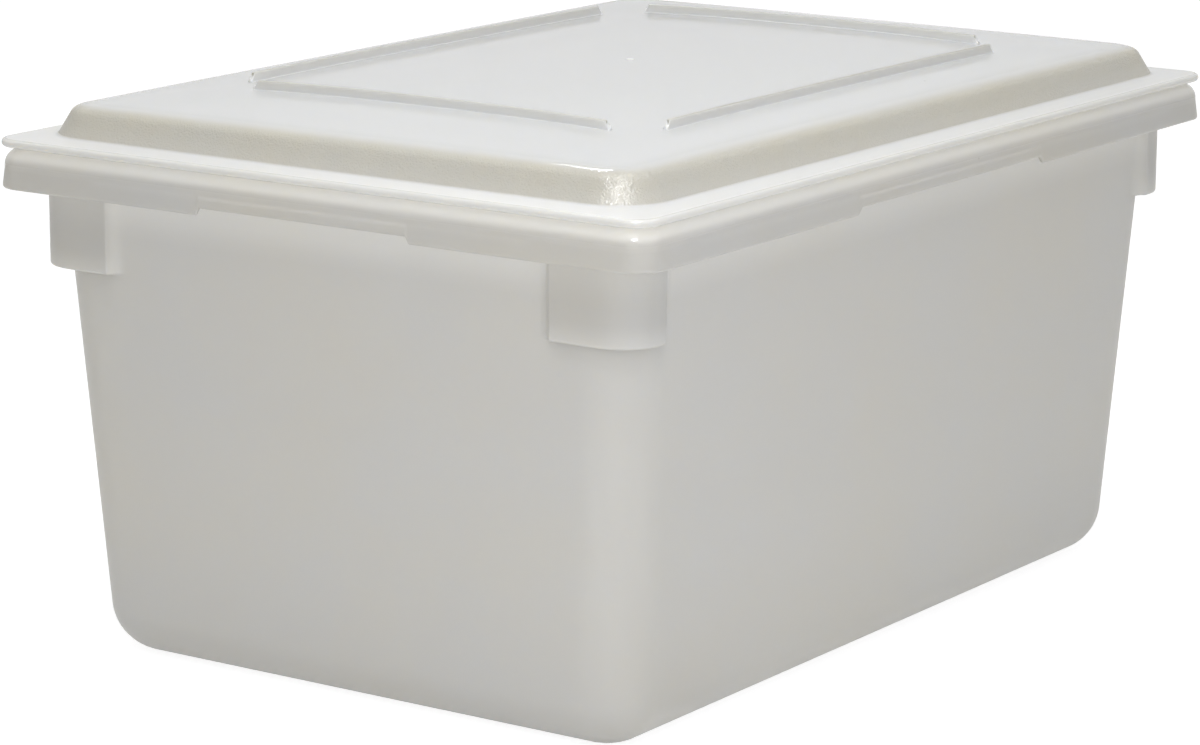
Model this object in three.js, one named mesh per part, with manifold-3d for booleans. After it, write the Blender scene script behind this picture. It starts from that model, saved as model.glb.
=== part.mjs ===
// Food storage box: a moulded tub and its lift-off lid, in millimetres, +Z up.
// The origin is the middle of the face that the tub stands on, and the long side runs along X.
import * as THREE from 'three';
import { mergeVertices } from 'three/addons/utils/BufferGeometryUtils.js';
import Module from 'manifold-3d';

// Tub: rim and skirt. Every inset below is measured inwards from the skirt's lower edge.
const rimLength = 650; // along X
const rimWidth = 460; // along Y
const rimHeight = 307.5; // top of the rim above the standing face
const rimCorner = 21; // corner radius of the skirt, seen from above
const rimPlate = 3.2; // thickness of the rim's flat top
const shoulderDepth = 11; // width of the rounded shoulder between skirt and flat top
const shoulderDrop = 9.5; // height of that shoulder
const skirtDrop = 24; // rim top down to the skirt's lower edge
const skirtWall = 3;
const skirtFlare = 1.4; // how far the skirt leans out on its way down

// Tub: wall and floor.
const wallInsetTop = 20; // inset of the wall's outside at rim height
const wallInsetBase = 39; // inset of the wall's outside at floor level
const wallCorner = 32.5; // corner radius of the wall, seen from above
const wallThickness = 3.2;
const floorThickness = 3.2;
const floorFillet = 31.5; // outside radius between wall and floor

// Tub: upright corner lugs, which keep nested tubs from jamming.
const lugInset = 17.2; // inset of the lug's face
const lugCorner = 24;
const lugDrop = 71.5; // rim top down to the lug's lower edge
const lugEdge = 4; // rounding of that lower edge
const lugSpanLong = 50; // reach from the rim's end along a long side
const lugSpanShort = 74; // reach from the rim's side along a short side

// Tub: hand grips, shallow arches in the skirt's lower edge.
const gripRise = 4.1;
const gripFlatLong = 174; // raised length on a long side
const gripFlatShort = 134; // raised length on a short side
const gripRunLong = 17; // length of each sloping end on a long side
const gripRunShort = 8; // length of each sloping end on a short side

// Lid: flange that lies on the rim.
const seatGap = 0.3; // rim top to the flange's underside
const flangeInset = 0.7;
const flangeCorner = 16; // corner radius of the flange, seen from above
const flangeThickness = 4.6;
const flangeRound = 2; // rounding of the flange's edge, above and below
const flangeRise = 1.6; // climb of the flange's upper face towards the raised panel

// Lid: sloping wall and crowned panel.
const lidThickness = 3;
const domeInset = 18.8; // inset of the sloping wall's foot
const domeCorner = 33; // corner radius of that foot, seen from above
const domeRise = 17.4; // height of the sloping wall
const domeRun = 10.6; // how far the sloping wall leans in
const domeEdge = 5; // length of wall and of panel taken up by their rounded edge
const crownRise = 8.4; // middle of the panel above its edge
const crownPower = 2.6; // a higher power keeps the middle of the panel flatter
const ridgeWidth = 24; // flat strip along the middle of the crown

// Lid: locating wall that drops inside the tub's mouth.
const keeperDepth = 8; // reach below the rim top
const keeperThickness = 2.4;
const keeperClearance = 0.8; // to the tub's inside

// Lid: raised bars on the panel, with open corners between them.
const barHeight = 5.4; // above the panel, at the bar's middle
const barThickness = 2.6;
const barFrameLength = 415; // over the outer faces, along X
const barFrameWidth = 300; // over the outer faces, along Y
const barFootLong = 368; // length of the bars that lie along X
const barFootShort = 254; // length of the bars that lie along Y
const barSlant = 4; // how much shorter the top is at each end
const barRoot = 1.5; // depth to which a bar is rooted in the panel

// Fineness of the round stretches.
const cornerSteps = 8;
const filletSteps = 6;
const edgeSteps = 4;
const crownSteps = 6;

// Cutting bodies reach past the face that they cut by this much.
const overcut = 1;
const sharpestCorner = 0.5;

const wasm = await Module();
wasm.setup();

// Levels and slopes that several pieces share.
const skirtLow = rimHeight - skirtDrop;
const creaseLevel = rimHeight - shoulderDrop;
const ceilingLevel = rimHeight - rimPlate;
const wallLean = (wallInsetBase - wallInsetTop) / rimHeight;
const wallSecant = Math.hypot(1, wallLean);
const seatLevel = rimHeight + seatGap;
const flangeTop = seatLevel + flangeThickness;
const footLevel = flangeTop + flangeRise;
const panelLevel = footLevel + domeRise;
const panelInset = domeInset + domeRun;

// Turns a closed three.js geometry into a solid that can be joined and cut.
function solid(geometry) {
  geometry.deleteAttribute('normal');
  geometry.deleteAttribute('uv');
  const merged = mergeVertices(geometry);
  const vertProperties = new Float32Array(merged.attributes.position.array);
  const triVerts = new Uint32Array(merged.index.array);
  return new wasm.Manifold(new wasm.Mesh({ numProp: 3, vertProperties, triVerts }));
}

// One level outline of the box: a rounded rectangle, counter-clockwise seen from above.
function outline({ inset, z, corner }) {
  const centreX = rimLength / 2 - inset - corner;
  const centreY = rimWidth / 2 - inset - corner;
  const points = [];
  for (let quarter = 0; quarter < 4; quarter += 1) {
    const sideX = quarter === 0 || quarter === 3 ? 1 : -1;
    const sideY = quarter < 2 ? 1 : -1;
    for (let step = 0; step <= cornerSteps; step += 1) {
      const angle = (quarter + step / cornerSteps) * Math.PI / 2;
      const x = sideX * centreX + corner * Math.cos(angle);
      const y = sideY * centreY + corner * Math.sin(angle);
      points.push(x, y, z);
    }
  }
  return points;
}

// A closed body through a run of outlines, from its flat underside to its flat top.
function loft(rings) {
  const count = 4 * (cornerSteps + 1);
  const positions = rings.flatMap(outline);
  const index = [];
  for (let ring = 0; ring + 1 < rings.length; ring += 1) {
    for (let step = 0; step < count; step += 1) {
      const here = ring * count + step;
      const beside = ring * count + (step + 1) % count;
      index.push(here, beside, beside + count, here, beside + count, here + count);
    }
  }
  const under = positions.length / 3;
  const over = under + 1;
  const last = (rings.length - 1) * count;
  positions.push(0, 0, rings[0].z, 0, 0, rings[rings.length - 1].z);
  for (let step = 0; step < count; step += 1) {
    const next = (step + 1) % count;
    index.push(under, next, step, over, last + step, last + next);
  }
  const geometry = new THREE.BufferGeometry();
  geometry.setAttribute('position', new THREE.Float32BufferAttribute(positions, 3));
  geometry.setIndex(index);
  return solid(geometry);
}

// A straight bar of any section: the section is drawn along the bar's length and height.
function extruded(section, thickness, place) {
  const shape = new THREE.Shape(section.map(([along, up]) => new THREE.Vector2(along, up)));
  const geometry = new THREE.ExtrudeGeometry(shape, { depth: thickness, bevelEnabled: false });
  geometry.translate(0, 0, -thickness / 2);
  geometry.rotateX(Math.PI / 2);
  geometry.applyMatrix4(place);
  return solid(geometry);
}

function joined(bodies) {
  return bodies.reduce((whole, body) => whole.add(body));
}

// Inset of a face of the wall at a given height; the outside face has no offset.
function wallInset(offset, z) {
  return wallInsetBase + offset * wallSecant - wallLean * z;
}

// Floor, rounded foot and wall of the tub up to a given level, as rings.
function tubRings(offset, floorLevel, topLevel) {
  const radius = Math.max(floorFillet - offset, sharpestCorner);
  const centreLevel = floorLevel + radius;
  const centreInset = wallInset(offset, centreLevel) + radius * wallSecant;
  const lastAngle = Math.PI + Math.atan(wallLean);
  const rings = [];
  for (let step = 0; step <= filletSteps; step += 1) {
    const angle = THREE.MathUtils.lerp(Math.PI * 1.5, lastAngle, step / filletSteps);
    const inset = centreInset + radius * Math.cos(angle);
    const z = centreLevel + radius * Math.sin(angle);
    const corner = wallCorner - offset - (inset - wallInset(offset, z));
    rings.push({ inset, z, corner: Math.max(corner, sharpestCorner) });
  }
  rings.push({ inset: wallInset(offset, topLevel), z: topLevel, corner: wallCorner - offset });
  return rings;
}

// Rim of the tub as rings: under the shoulder, down the skirt, round its lower edge and over the shoulder.
function rimRings() {
  const shoulder = (step, skirt, plate) => {
    const angle = (step / edgeSteps) * Math.PI / 2;
    const inset = skirtFlare + shoulderDepth - (shoulderDepth - skirt) * Math.cos(angle);
    return { inset, z: creaseLevel + (shoulderDrop - plate) * Math.sin(angle) };
  };
  const inner = [];
  const outer = [];
  for (let step = 0; step <= edgeSteps; step += 1) {
    inner.push(shoulder(edgeSteps - step, skirtWall, rimPlate));
    outer.push(shoulder(step, 0, 0));
  }
  const lower = [{ inset: skirtWall, z: skirtLow }, { inset: 0, z: skirtLow }];
  const rings = [...inner, ...lower, ...outer];
  return rings.map((ring) => ({ ...ring, corner: Math.max(rimCorner - ring.inset, sharpestCorner) }));
}

// Upright blocks at the four corners, which limit the lugs to their reach along the sides.
function cornerBlocks(reachX, reachY) {
  const blocks = [];
  for (const sideX of [-1, 1]) {
    for (const sideY of [-1, 1]) {
      const block = new THREE.BoxGeometry(reachX, reachY, 2 * rimHeight);
      const x = sideX * (rimLength - reachX) / 2;
      const y = sideY * (rimWidth - reachY) / 2;
      block.translate(x, y, rimHeight);
      blocks.push(solid(block));
    }
  }
  return joined(blocks);
}

// Lug bodies at the four corners; an offset gives the hollow behind them.
function lugs(offset, topLevel) {
  const inset = lugInset + offset;
  const corner = lugCorner - offset;
  const low = rimHeight - lugDrop + offset;
  const rings = [];
  for (let step = 0; step <= edgeSteps; step += 1) {
    const angle = (step / edgeSteps) * Math.PI / 2;
    const drawn = lugEdge * (1 - Math.sin(angle));
    const z = low + lugEdge * (1 - Math.cos(angle));
    rings.push({ inset: inset + drawn, z, corner: corner - drawn });
  }
  rings.push({ inset, z: topLevel, corner });
  const blocks = cornerBlocks(lugSpanLong - offset, lugSpanShort - offset);
  return loft(rings).intersect(blocks);
}

// Arched cuts in the skirt's lower edge, one on each side of the tub.
function gripCuts() {
  const reach = 2 * (skirtFlare + skirtWall);
  const cuts = [];
  const sides = [
    { flat: gripFlatLong, run: gripRunLong, away: rimWidth / 2, turn: 0 },
    { flat: gripFlatShort, run: gripRunShort, away: rimLength / 2, turn: Math.PI / 2 },
  ];
  for (const { flat, run, away, turn } of sides) {
    const half = flat / 2;
    const section = [
      [-half - run, skirtLow - overcut],
      [half + run, skirtLow - overcut],
      [half + run, skirtLow],
      [half, skirtLow + gripRise],
      [-half, skirtLow + gripRise],
      [-half - run, skirtLow],
    ];
    for (const side of [-1, 1]) {
      const place = new THREE.Matrix4().makeRotationZ(turn);
      place.multiply(new THREE.Matrix4().makeTranslation(0, side * away, 0));
      cuts.push(extruded(section, reach, place));
    }
  }
  return joined(cuts);
}

function makeTub() {
  const outside = loft([...tubRings(0, 0, ceilingLevel), ...rimRings()]);
  const inside = loft(tubRings(wallThickness, floorThickness, rimHeight + overcut));
  const outerLugs = lugs(0, ceilingLevel + rimPlate / 2);
  const innerLugs = lugs(wallThickness, rimHeight + overcut);
  return outside.add(outerLugs).subtract(inside).subtract(innerLugs).subtract(gripCuts());
}

// Height of the crowned panel's upper face at a given inset.
function crown(inset) {
  const outward = (rimWidth / 2 - inset) / (rimWidth / 2 - panelInset);
  return panelLevel + crownRise * (1 - outward ** crownPower);
}

function domePlan(inset) {
  return Math.max(domeCorner - (inset - domeInset), sharpestCorner);
}

// Panel rings from a given inset up to the ridge, lowered by the panel's thickness for its underside.
function panelRings(firstInset, lowered) {
  const ridgeInset = (rimWidth - ridgeWidth) / 2;
  const rings = [];
  for (let step = 0; step <= crownSteps; step += 1) {
    const inset = THREE.MathUtils.lerp(firstInset, ridgeInset, step / crownSteps);
    rings.push({ inset, z: crown(inset) - lowered, corner: domePlan(inset) });
  }
  return rings;
}

// Upper face of the raised part: foot of the sloping wall, rounded edge and crowned panel.
function domeRings() {
  const wallLength = Math.hypot(domeRise, domeRun);
  const start = new THREE.Vector2(
    panelInset - domeEdge * domeRun / wallLength,
    panelLevel - domeEdge * domeRise / wallLength,
  );
  const bend = new THREE.Vector2(panelInset, panelLevel);
  const end = new THREE.Vector2(panelInset + domeEdge, crown(panelInset + domeEdge));
  const edge = new THREE.QuadraticBezierCurve(start, bend, end).getPoints(edgeSteps);
  edge.pop();
  const rounded = edge.map(({ x, y }) => ({ inset: x, z: y, corner: domePlan(x) }));
  const foot = { inset: domeInset, z: footLevel, corner: domeCorner };
  return [foot, ...rounded, ...panelRings(end.x, 0)];
}

function flangeRings() {
  const round = Math.min(flangeRound, flangeThickness / 3);
  const rings = [];
  for (const [middle, turn] of [[seatLevel + round, -1], [flangeTop - round, 0]]) {
    for (let step = 0; step <= edgeSteps; step += 1) {
      const angle = (turn + step / edgeSteps) * Math.PI / 2;
      const drawn = round * (1 - Math.cos(angle));
      const z = middle + round * Math.sin(angle);
      rings.push({ inset: flangeInset + drawn, z, corner: Math.max(flangeCorner - drawn, sharpestCorner) });
    }
  }
  return rings;
}

// Hollow under the raised part, one lid thickness inside its upper face.
function lidHollow() {
  const lean = domeRun / domeRise;
  const shift = lidThickness * Math.hypot(1, lean);
  const inset = (z) => domeInset + shift + lean * (z - footLevel);
  const mouth = inset(seatLevel - overcut);
  const roof = panelLevel - lidThickness;
  const rings = [{ inset: mouth, z: seatLevel - overcut, corner: domePlan(mouth) }];
  return loft([...rings, ...panelRings(inset(roof), lidThickness)]);
}

// Locating wall: an upright ring inside the tub's mouth that runs up into the lid's sloping wall.
function keeper() {
  const low = rimHeight - keeperDepth;
  const inset = wallInset(wallThickness, low) + keeperClearance;
  const corner = wallCorner - wallThickness - keeperClearance;
  const ring = (extra, z) => ({
    inset: inset + extra,
    z,
    corner: Math.max(corner - extra, sharpestCorner),
  });
  const high = panelLevel + crownRise;
  const outer = loft([ring(0, low), ring(0, high)]);
  const inner = loft([ring(keeperThickness, low - overcut), ring(keeperThickness, high + overcut)]);
  const below = { inset: domeInset, z: low - overcut, corner: domeCorner };
  return outer.subtract(inner).intersect(loft([below, ...domeRings()]));
}

// Four raised bars with slanting ends, rooted in the panel.
function bars() {
  const sides = [
    { foot: barFootLong, away: (barFrameWidth - barThickness) / 2, edge: rimWidth / 2, turn: 0 },
    { foot: barFootShort, away: (barFrameLength - barThickness) / 2, edge: rimLength / 2, turn: Math.PI / 2 },
  ];
  const made = [];
  for (const { foot, away, edge, turn } of sides) {
    const base = crown(edge - away);
    const top = base + barHeight;
    const half = foot / 2;
    const section = [
      [-half, base - barRoot],
      [half, base - barRoot],
      [half, base],
      [half - barSlant, top],
      [barSlant - half, top],
      [-half, base],
    ];
    for (const side of [-1, 1]) {
      const place = new THREE.Matrix4().makeRotationZ(turn);
      place.multiply(new THREE.Matrix4().makeTranslation(0, side * away, 0));
      made.push(extruded(section, barThickness, place));
    }
  }
  return joined(made);
}

function makeLid() {
  const raised = loft([...flangeRings(), ...domeRings()]);
  return raised.subtract(lidHollow()).add(keeper()).add(bars());
}

// A named piece of the assembly with its own moulded plastic.
function piece(name, body, color, roughness) {
  const { vertProperties, triVerts } = body.getMesh();
  const geometry = new THREE.BufferGeometry();
  geometry.setAttribute('position', new THREE.Float32BufferAttribute(vertProperties, 3));
  geometry.setIndex(Array.from(triVerts));
  geometry.computeVertexNormals();
  const material = new THREE.MeshStandardMaterial({ color, roughness, metalness: 0 });
  const mesh = new THREE.Mesh(geometry, material);
  mesh.name = name;
  return mesh;
}

const storageBox = new THREE.Group();
storageBox.name = 'food_storage_box';
storageBox.add(piece('tub', makeTub(), '#d3d2ca', 0.45));
storageBox.add(piece('lid', makeLid(), '#e2e2dc', 0.35));

export default storageBox;
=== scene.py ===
"""Food storage box: a moulded tub, a lift-off lid with four raised bars, and a plain studio stage."""
import math

import bpy
from bpy.props import FloatProperty, FloatVectorProperty, PointerProperty
from mathutils import Matrix, Vector


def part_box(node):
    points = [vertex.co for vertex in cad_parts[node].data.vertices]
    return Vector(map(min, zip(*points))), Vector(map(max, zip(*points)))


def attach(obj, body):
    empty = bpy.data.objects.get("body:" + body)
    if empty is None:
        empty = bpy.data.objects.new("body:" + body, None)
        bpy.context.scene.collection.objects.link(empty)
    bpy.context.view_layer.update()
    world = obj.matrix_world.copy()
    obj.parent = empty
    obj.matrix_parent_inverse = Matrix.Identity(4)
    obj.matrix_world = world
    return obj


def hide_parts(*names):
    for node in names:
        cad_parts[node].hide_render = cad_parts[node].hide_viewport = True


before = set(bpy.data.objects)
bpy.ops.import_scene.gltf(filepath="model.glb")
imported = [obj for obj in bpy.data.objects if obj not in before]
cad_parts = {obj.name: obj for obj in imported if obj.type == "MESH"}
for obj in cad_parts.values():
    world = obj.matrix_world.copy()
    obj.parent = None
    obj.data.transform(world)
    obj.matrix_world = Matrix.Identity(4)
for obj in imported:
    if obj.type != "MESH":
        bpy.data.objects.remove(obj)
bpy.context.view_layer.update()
TUB_LOW, TUB_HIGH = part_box("tub")

bl_info = {
    "name": "Food storage box",
    "version": (1, 0, 0),
    "blender": (4, 5, 0),
    "location": "3D View > Sidebar > Storage box",
    "description": "Builds a moulded food storage tub, its lid and a plain studio stage",
    "category": "Add Mesh",
}

MM = 0.001
IMAGE_WIDTH = 1200
SENSOR_WIDTH = 36.0
FOCAL_PIXELS = 4276.54


def length(label, text, millimetres):
    """A size that a user may change, given in millimetres and kept in metres."""
    return FloatProperty(name=label, description=text, default=millimetres * MM, unit="LENGTH", precision=4)


def colour(label, text, value):
    return FloatVectorProperty(name=label, description=text, default=value, subtype="COLOR", min=0.0, max=1.0)


class StorageTubSizes(bpy.types.PropertyGroup):
    """Sizes of the tub. An inset is measured inwards from the skirt's lower edge."""

    rim_length: length("Rim length", "Length over the skirt", (TUB_HIGH.x - TUB_LOW.x) / MM)
    rim_width: length("Rim width", "Width over the skirt", (TUB_HIGH.y - TUB_LOW.y) / MM)
    rim_height: length("Rim height", "Top of the rim above the standing face", TUB_HIGH.z / MM)
    rim_corner: length("Rim corner", "Corner radius of the skirt", 18.5)
    rim_plate: length("Rim plate", "Thickness of the rim's flat top", 3.2)
    rim_edge: length("Rim edge", "Rounding of the rim's inner edge", 1.4)
    shoulder_depth: length("Shoulder depth", "Width of the rounded shoulder", 12.3)
    shoulder_drop: length("Shoulder drop", "Height of the rounded shoulder", 12)
    shoulder_power: FloatProperty(
        name="Shoulder power", description="2 gives a round shoulder, more a squarer one", default=2.6)
    shoulder_spread: FloatProperty(
        name="Shoulder spread", description="How much the corner radius grows for each length of inset",
        default=0.1)
    channel_depth: length("Channel depth", "Width of the hollow's rounding behind the shoulder", 11)
    skirt_drop: length("Skirt drop", "Rim top down to the skirt's lower edge", 24)
    skirt_wall: length("Skirt wall", "Thickness of the skirt", 3)
    skirt_flare: length("Skirt flare", "How far the skirt leans out", 1.4)
    wall_inset_top: length("Wall inset at the rim", "Inset of the wall's outside at rim height", 20)
    wall_inset_base: length("Wall inset at the floor", "Inset of the wall's outside at floor level", 39)
    wall_corner: length("Wall corner", "Corner radius of the wall", 32.5)
    wall_thickness: length("Wall thickness", "Thickness of wall and floor", 3.2)
    floor_fillet: length("Floor rounding", "Outside radius between wall and floor", 31.5)
    ceiling_fillet: length("Ceiling rounding", "Radius between the wall and the rim's underside", 2)
    lug_inset: length("Lug inset", "Inset of the lug's face", 17.2)
    lug_corner: length("Lug corner", "Corner radius of the lug", 24)
    lug_drop: length("Lug drop", "Rim top down to the lug's lower edge", 70.6)
    lug_edge: length("Lug edge", "Rounding of the lug's lower edge", 1.7)
    lug_hollow: length("Lug hollow", "Hollow rounding between the lug's ledge and the wall", 1.6)
    lug_reach_long: length("Lug reach on a long side", "Reach from the rim's end", 49)
    lug_reach_short: length("Lug reach on a short side", "Reach from the rim's side", 73.5)
    lug_slope: length("Lug slope", "Length over which a lug's side rises from the wall", 13)
    # Painted shade and painted light on the tub's outside:
    foot_shade: length("Foot shade", "Height over which the wall darkens towards the floor", 110)
    lug_glow: length("Lug glow", "Height over which the lug's lower edge looks lighter", 15)
    skirt_glow: length("Skirt glow", "Height below the skirt over which the wall looks lighter", 26)
    lug_steepness: FloatProperty(
        name="Lug steepness", description="A higher power gives a wider hollow and a sharper edge",
        default=3.0)
    grip_rise: length("Grip rise", "Rise of the arch in the skirt's lower edge", 4.1)
    grip_flat_long: length("Grip on a long side", "Raised length on a long side", 206)
    grip_flat_short: length("Grip on a short side", "Raised length on a short side", 145)
    grip_run_long: length("Grip end on a long side", "Length of a sloping end on a long side", 5.5)
    grip_run_short: length("Grip end on a short side", "Length of a sloping end on a short side", 3)


class StorageLidSizes(bpy.types.PropertyGroup):
    """Sizes of the lid. An inset is measured inwards from the tub's skirt."""

    seat_gap: length("Seat gap", "Rim top to the flange's underside", 0.3)
    flange_inset: length("Flange inset", "Inset of the flange's edge", 0.7)
    flange_corner: length("Flange corner", "Corner radius of the flange", 16)
    flange_thickness: length("Flange thickness", "Thickness of the flange at its edge", 4.6)
    flange_rise: length("Flange rise", "Climb of the flange's upper face", 1.6)
    lip_thickness: length("Lip thickness", "Thickness of the rounded bead along the flange's edge", 4.8)
    lip_crest: length("Lip crest", "Top of the bead above the flange's edge thickness", 0.25)
    lid_thickness: length("Lid thickness", "Thickness of the panel and the sloping wall", 3)
    dome_inset: length("Dome inset", "Inset of the sloping wall's foot", 18.8)
    dome_corner: length("Dome corner", "Corner radius of the sloping wall's foot", 33)
    dome_rise: length("Dome rise", "Height of the sloping wall", 17.4)
    dome_run: length("Dome run", "How far the sloping wall leans in", 10.6)
    dome_edge: length("Dome edge", "Length of sloping wall taken up by the panel's rounded edge", 5)
    dome_roll: length("Dome roll", "Length of panel taken up by its rounded edge", 10)
    # The panel's darkening towards its edge is painted shade.
    panel_fade: length("Panel fade", "Length over which the panel darkens towards its rounded edge", 9)
    dome_foot: length("Dome foot", "Length taken up by the sloping wall's rounded foot", 2)
    crown_rise: length("Crown rise", "Middle of the panel above its edge", 8.44)
    crown_power_long: FloatProperty(
        name="Crown power along X", description="A higher power keeps the middle flatter", default=3.77)
    crown_power_short: FloatProperty(
        name="Crown power along Y", description="A higher power keeps the middle flatter", default=2.56)
    keeper_depth: length("Keeper depth", "Reach of the locating wall below the rim top", 8)
    keeper_thickness: length("Keeper thickness", "Thickness of the locating wall", 2.4)
    keeper_clearance: length("Keeper clearance", "Locating wall to the tub's inside", 0.8)
    bar_height: length("Bar height", "Top of a bar above the panel", 5.4)
    bar_thickness: length("Bar thickness", "Thickness of a bar", 2.6)
    bar_draft: length("Bar draft", "How much a bar narrows on each side towards its top", 0.2)
    bar_fillet: length("Bar fillet", "Rounding between a bar and the panel", 0.8)
    bar_edge: length("Bar edge", "Rounding of a bar's top", 0.5)
    bar_frame_length: length("Bar frame length", "Over the bars' outer faces, along X", 415)
    bar_frame_width: length("Bar frame width", "Over the bars' outer faces, along Y", 300)
    bar_foot_long: length("Long bar", "Length of the bars that lie along X", 367)
    bar_foot_short: length("Short bar", "Length of the bars that lie along Y", 253)
    bar_slant: length("Bar slant", "How much shorter a bar's top is at each end", 2.4)
    gate_radius: length("Gate mark radius", "Radius of the moulding mark on the panel", 2.4)
    gate_rise: length("Gate mark rise", "Height of the moulding mark", 0.5)


class StoragePlastic(bpy.types.PropertyGroup):
    """Colours and finish of the two mouldings."""

    tub_colour: colour("Tub", "Natural white polyethylene where the tub is thinnest", (0.515, 0.505, 0.472))
    lid_colour: colour("Lid", "Natural white polyethylene where the lid is thinnest", (0.49, 0.473, 0.414))
    panel_colour: colour("Panel", "The lid's smooth panel", (0.622, 0.63, 0.63))
    # The pale colour stands partly for thick plastic and partly for painted light; faces held back from it
    # show painted shade.
    thick_and_lit_colour: colour("Thick and lit", "The same plastic where it is thickest", (0.86, 0.848, 0.805))
    tub_through: FloatProperty(
        name="Light through the tub", description="Share of the light that passes a face of the tub",
        default=0.5, min=0.0, max=1.0, subtype="FACTOR")
    lid_through: FloatProperty(
        name="Light through the lid", description="Share of the light that passes a face of the lid",
        default=0.78, min=0.0, max=1.0, subtype="FACTOR")
    # Painted shade for the narrow top of a bar.
    shaded_colour: colour("Shaded", "The narrow top of a bar, where light leaves downwards", (0.3, 0.3, 0.28))
    speck_colour: colour("Specks", "Fine dirt and burnt grains in the plastic", (0.22, 0.2, 0.17))
    glow_depth: length("Glow depth", "How far light spreads inside the plastic", 6)


class StorageStage(bpy.types.PropertyGroup):
    """Camera, floor and lamps."""

    camera_place: FloatVectorProperty(
        name="Camera place", description="Where the camera stands",
        default=(-2.14634, -1.45434, 0.72364), subtype="TRANSLATION")
    azimuth: FloatProperty(
        name="Azimuth", description="Heading of the view", default=math.radians(-55.491), subtype="ANGLE")
    elevation: FloatProperty(
        name="Elevation", description="How far the view looks down", default=math.radians(12.612),
        subtype="ANGLE")
    roll: FloatProperty(
        name="Roll", description="Tilt of the view", default=math.radians(0.212), subtype="ANGLE")
    floor_colour: colour("Floor", "Colour of the floor as a surface that gives light back", (0.8, 0.8, 0.8))
    sky_strength: FloatProperty(name="Sky", description="Even light from all round", default=0.47, min=0.0)
    key_power: FloatProperty(
        name="Top lamp", description="Power of the lamp overhead", default=17.0, min=0.0, subtype="POWER")
    fill_power: FloatProperty(
        name="Front lamp", description="Power of the lamp in front", default=3.8, min=0.0, subtype="POWER")
    fill_colour: colour("Front lamp colour", "The lamp in front is a little cooler", (0.88, 0.9, 1.0))
    spark_power: FloatProperty(
        name="Small lamp", description="Power of the small lamp above the camera", default=9.0, min=0.0,
        subtype="POWER")
    glint_power: FloatProperty(
        name="Glint lamp", description="Power of the lamp that shows only as a highlight",
        default=38.0, min=0.0, subtype="POWER")
    edge_power: FloatProperty(
        name="Edge lamp", description="Power of the lamp behind that shows only along edges",
        default=2.6, min=0.0, subtype="POWER")


class NodeSheet:
    """A node tree that is filled by short calls."""

    def __init__(self, tree):
        self.tree = tree

    def add(self, kind, values=(), **settings):
        node = self.tree.nodes.new(kind)
        for name, value in settings.items():
            setattr(node, name, value)
        live = [socket for socket in node.inputs if socket.enabled]
        pairs = values.items() if isinstance(values, dict) else enumerate(values)
        for key, value in pairs:
            socket = live[key] if isinstance(key, int) else next(s for s in live if s.name == key)
            if isinstance(value, bpy.types.NodeSocket):
                self.tree.links.new(value, socket)
            else:
                socket.default_value = value
        return node

    def get(self, kind, values=(), **settings):
        node = self.add(kind, values, **settings)
        return next(socket for socket in node.outputs if socket.enabled)

    def sum(self, operation, *values):
        return self.get("ShaderNodeMath", values, operation=operation)

    def vector(self, operation, *values):
        return self.get("ShaderNodeVectorMath", values, operation=operation)

    def vector_value(self, operation, *values):
        node = self.add("ShaderNodeVectorMath", values, operation=operation)
        return node.outputs["Value"]

    def ramp(self, value, low, high, to_low=0.0, to_high=1.0, shape="SMOOTHSTEP"):
        inputs = {"Value": value, "From Min": low, "From Max": high, "To Min": to_low, "To Max": to_high}
        return self.get("ShaderNodeMapRange", inputs, interpolation_type=shape)

    def blend(self, share, first, second, kind="RGBA"):
        return self.get("ShaderNodeMix", {"Factor": share, "A": first, "B": second}, data_type=kind)

    def parts(self, value):
        return self.add("ShaderNodeSeparateXYZ", [value]).outputs

    def join(self, x, y, z):
        return self.get("ShaderNodeCombineXYZ", [x, y, z])


def new_tree(name, inputs):
    """A geometry tree with named inputs, its sheet, and its input sockets by name."""
    tree = bpy.data.node_groups.new(name, "GeometryNodeTree")
    for label, kind in inputs:
        tree.interface.new_socket(name=label, in_out="INPUT", socket_type=f"NodeSocket{kind}")
    tree.interface.new_socket(name="Geometry", in_out="OUTPUT", socket_type="NodeSocketGeometry")
    sheet = NodeSheet(tree)
    given = sheet.add("NodeGroupInput").outputs
    return sheet, {label: given[label] for label, _ in inputs}


def end_tree(sheet, geometry, material):
    """Realise, shade and hand over the geometry."""
    real = sheet.get("GeometryNodeRealizeInstances", [geometry])
    smooth = sheet.get("GeometryNodeSetShadeSmooth", {"Geometry": real, "Shade Smooth": True})
    painted = sheet.get("GeometryNodeSetMaterial", {"Geometry": smooth, "Material": material})
    sheet.add("NodeGroupOutput", [painted])
    return sheet.tree


def made_by(tree, name, values):
    """A plain mesh object from a geometry tree and the values of its named inputs."""
    scene = bpy.context.scene
    piece = bpy.data.objects.new(name, bpy.data.meshes.new(name))
    scene.collection.objects.link(piece)
    modifier = piece.modifiers.new(name, "NODES")
    modifier.node_group = tree
    for item in tree.interface.items_tree:
        if item.in_out == "INPUT":
            modifier[item.identifier] = values[item.name]
    depsgraph = bpy.context.evaluated_depsgraph_get()
    mesh = bpy.data.meshes.new_from_object(
        piece.evaluated_get(depsgraph), preserve_all_data_layers=True, depsgraph=depsgraph)
    piece.modifiers.clear()
    piece.data = mesh
    mesh.name = name
    for value in values.values():
        if isinstance(value, bpy.types.Object):
            bpy.data.objects.remove(value)
    return piece


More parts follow.
